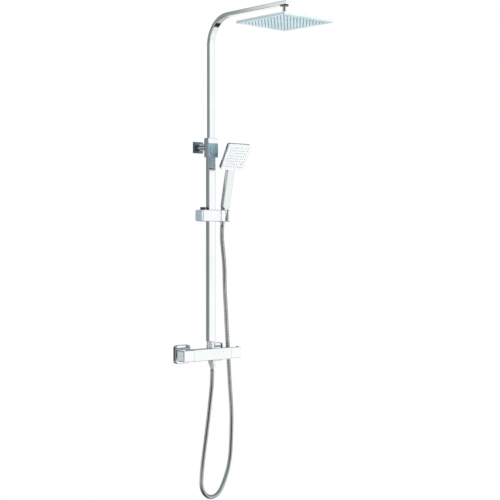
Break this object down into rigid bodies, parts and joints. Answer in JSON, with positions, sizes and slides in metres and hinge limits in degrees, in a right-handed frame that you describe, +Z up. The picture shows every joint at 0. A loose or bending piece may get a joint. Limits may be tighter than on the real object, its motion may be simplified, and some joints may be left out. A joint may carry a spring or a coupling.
{
  "type": "shower column",
  "caption": "Wall-hung shower column: thermostatic bar mixer, telescopic riser with arm and square rain head, slider with handset holder, flat handset and looped hose.",
  "frame": {"origin": "midway between the two wall inlets, on the face of the wall", "axes": "+X to the user's right, +Y into the wall, +Z up along the riser; the user stands at -Y"},
  "size_m": [0.2672, 0.558, 1.6627],
  "materials": {
    "chrome": "polished",
    "face_steel": "fine satin",
    "chromed_plastic": "chrome plated",
    "face_plastic": "white",
    "brass": "machined",
    "steel": "bright",
    "hose_steel": "polished",
    "nozzle_rubber": "matte",
    "seal_rubber": "matte",
    "black_plastic": "gloss",
    "button_plastic": "gloss",
    "acetal": "moulded"
  },
  "bodies": {
    "column": {"valve_body": "chrome", "inlet_unions": "chrome", "union_nuts": "chrome", "wall_rosettes": "chrome", "inlet_washers": "seal_rubber", "check_valves": "acetal", "thermostatic_cartridge": "acetal", "diverter_cartridge": "acetal", "cartridge_seals": "seal_rubber", "cartridge_nuts": "brass", "outlet_nipples": "chrome", "riser_union_nut": "chrome", "outlet_washers": "seal_rubber", "riser_adaptor": "chrome", "lower_tube": "chrome", "bracket_block": "chrome", "bracket_front_cap": "chrome", "bracket_stem": "chrome", "bracket_flange": "chrome", "wall_boss": "brass", "wall_screw": "steel", "bracket_grub_screw": "steel", "telescope_bush": "acetal", "telescope_seal": "seal_rubber", "hose_nut": "chrome", "hose_main": "hose_steel"},
    "temperature": {"temperature_knob": "chrome", "temperature_spindle": "brass", "temperature_knob_screw": "steel", "temperature_knob_cap": "chrome"},
    "button": {"stop_button": "button_plastic"},
    "flow": {"flow_knob": "chrome", "flow_spindle": "brass", "flow_knob_screw": "steel", "flow_knob_cap": "chrome"},
    "clamp": {"clamp_knob": "chrome"},
    "riser": {"upper_tube": "chrome", "piston_carrier": "acetal", "piston_seals": "seal_rubber", "arm_end_cap": "chrome", "arm_nipple": "black_plastic"},
    "swivel": {"swivel_stud": "chrome", "stud_clip": "steel"},
    "head": {"head_top_shell": "chrome", "head_face_plate": "face_steel", "head_nozzle_mat": "nozzle_rubber", "ball_nut": "chrome", "ball_seal": "seal_rubber"},
    "slider": {"slider_body": "chromed_plastic", "slider_bush": "acetal", "slider_end_cap": "chromed_plastic", "holder_pivot_bolt": "steel", "hose_middle": "hose_steel"},
    "tab": {"release_tab": "black_plastic"},
    "holder": {"handset_holder": "chromed_plastic", "hose_top": "hose_steel"},
    "handset": {"handset_shell": "chromed_plastic", "handset_face": "face_plastic", "handset_nozzle_mat": "nozzle_rubber", "hose_cone_nut": "chrome"}
  },
  "joints": [
    {"name": "temperature_knob_turn", "type": "hinge", "parent": "column", "child": "temperature", "pos_m": [0, -0.066, 0], "axis": [1, 0, 0], "range_deg": [-130, 60]},
    {"name": "stop_button_press", "type": "slide", "parent": "temperature", "child": "button", "axis": [0, 0, -1], "range_m": [0, 0.0012], "stiffness_N_per_m": 400},
    {"name": "flow_knob_turn", "type": "hinge", "parent": "column", "child": "flow", "pos_m": [0, -0.066, 0], "axis": [1, 0, 0], "range_deg": [-90, 90]},
    {"name": "clamp_knob_turn", "type": "hinge", "parent": "column", "child": "clamp", "pos_m": [0, -0.086, 0.7], "axis": [0, 1, 0], "range_deg": [-180, 180]},
    {"name": "telescope_slide", "type": "slide", "parent": "column", "child": "riser", "axis": [0, 0, 1], "range_m": [-0.31, 0.08]},
    {"name": "head_spin", "type": "hinge", "parent": "riser", "child": "swivel", "pos_m": [0, -0.432, 1.109], "axis": [0, 0, 1], "range_deg": [-180, 180]},
    {"name": "head_tilt", "type": "hinge", "parent": "swivel", "child": "head", "pos_m": [0, -0.432, 1.109], "axis": [1, 0, 0], "range_deg": [-14, 14]},
    {"name": "slider_travel", "type": "slide", "parent": "column", "child": "slider", "axis": [0, 0, 1], "range_m": [-0.2, 0.17], "deforming": ["hose_main"]},
    {"name": "release_tab_press", "type": "slide", "parent": "slider", "child": "tab", "axis": [0, 0, -1], "range_m": [0, 0.003], "stiffness_N_per_m": 800},
    {"name": "holder_tilt", "type": "hinge", "parent": "slider", "child": "holder", "pos_m": [0.0586, -0.072, 0.476], "axis": [1, 0, 0], "range_deg": [-6, 20], "deforming": ["hose_middle"]},
    {"name": "handset_lift", "type": "slide", "parent": "holder", "child": "handset", "axis": [0, -0.2011, 0.9796], "range_m": [0, 0.065], "deforming": ["hose_top"]}
  ]
}
